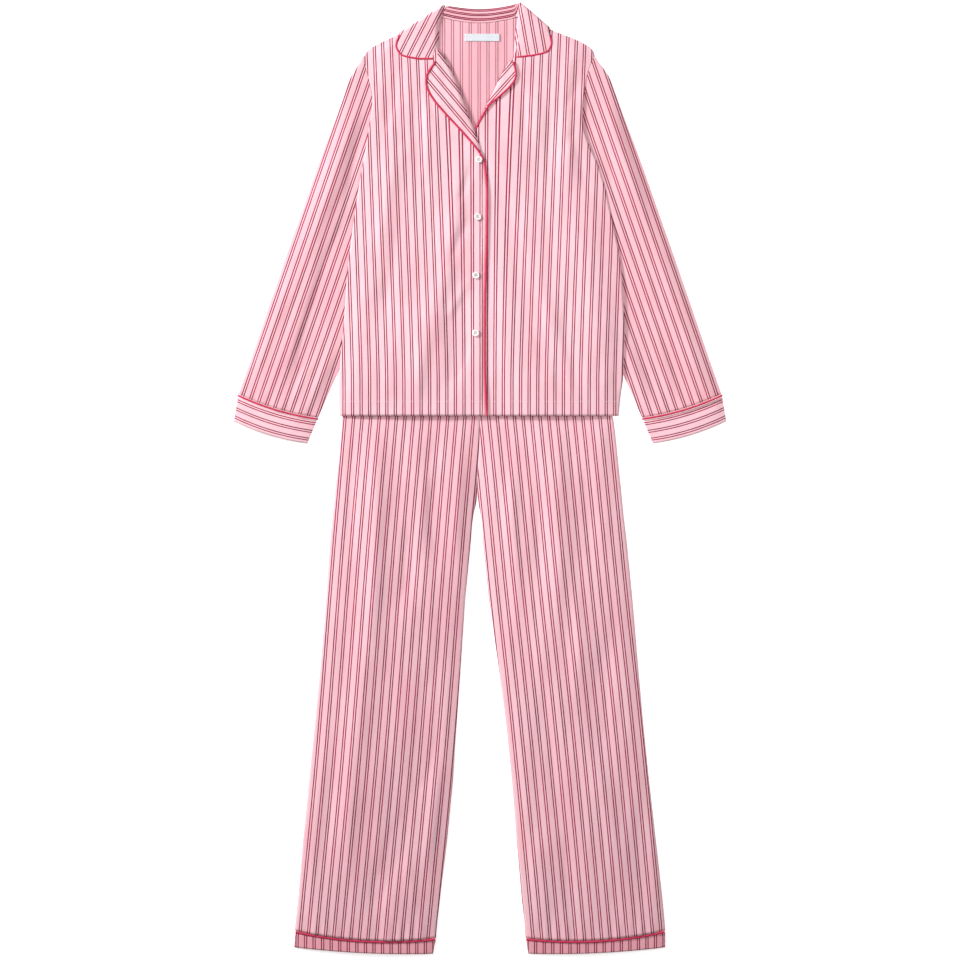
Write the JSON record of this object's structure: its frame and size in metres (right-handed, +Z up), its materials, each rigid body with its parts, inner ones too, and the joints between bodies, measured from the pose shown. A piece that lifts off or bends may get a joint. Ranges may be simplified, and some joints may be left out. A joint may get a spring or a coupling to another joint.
{
  "type": "pyjama set",
  "caption": "Striped cotton pyjama set laid flat: piped long-sleeved jacket with a notched collar and buttons, over straight trousers.",
  "frame": {"origin": "middle of the set's outline, on the surface it lies on", "axes": "+X towards the wearer's left, +Y from the trouser hems to the collar, +Z up from the surface"},
  "size_m": [0.7892, 1.5262, 0.0117],
  "materials": {
    "striped_cotton": "plain-woven cotton, pale pink with pairs of fine crimson stripes",
    "piping": "crimson cotton bias strip round a cord",
    "button": "off-white, polished",
    "label": "bare white satin tape"
  },
  "bodies": {
    "root": {"jacket_back": "striped_cotton", "jacket_front_right": "striped_cotton", "jacket_front_left": "striped_cotton", "lapel_right": "striped_cotton", "lapel_left": "striped_cotton", "collar": "striped_cotton", "collar_stand": "striped_cotton", "sleeve_right": "striped_cotton", "sleeve_left": "striped_cotton", "cuff_right": "striped_cotton", "cuff_left": "striped_cotton", "front_piping_right": "piping", "front_piping_left": "piping", "collar_piping_right": "piping", "collar_piping_left": "piping", "cuff_piping_right": "piping", "cuff_piping_left": "piping", "button_1": "button", "button_2": "button", "button_3": "button", "button_4": "button", "label": "label", "trousers_front_right": "striped_cotton", "trousers_front_left": "striped_cotton", "trousers_back_right": "striped_cotton", "trousers_back_left": "striped_cotton", "waistband": "striped_cotton", "hem_band_right": "striped_cotton", "hem_band_left": "striped_cotton", "hem_piping_right": "piping", "hem_piping_left": "piping"}
  },
  "joints": []
}
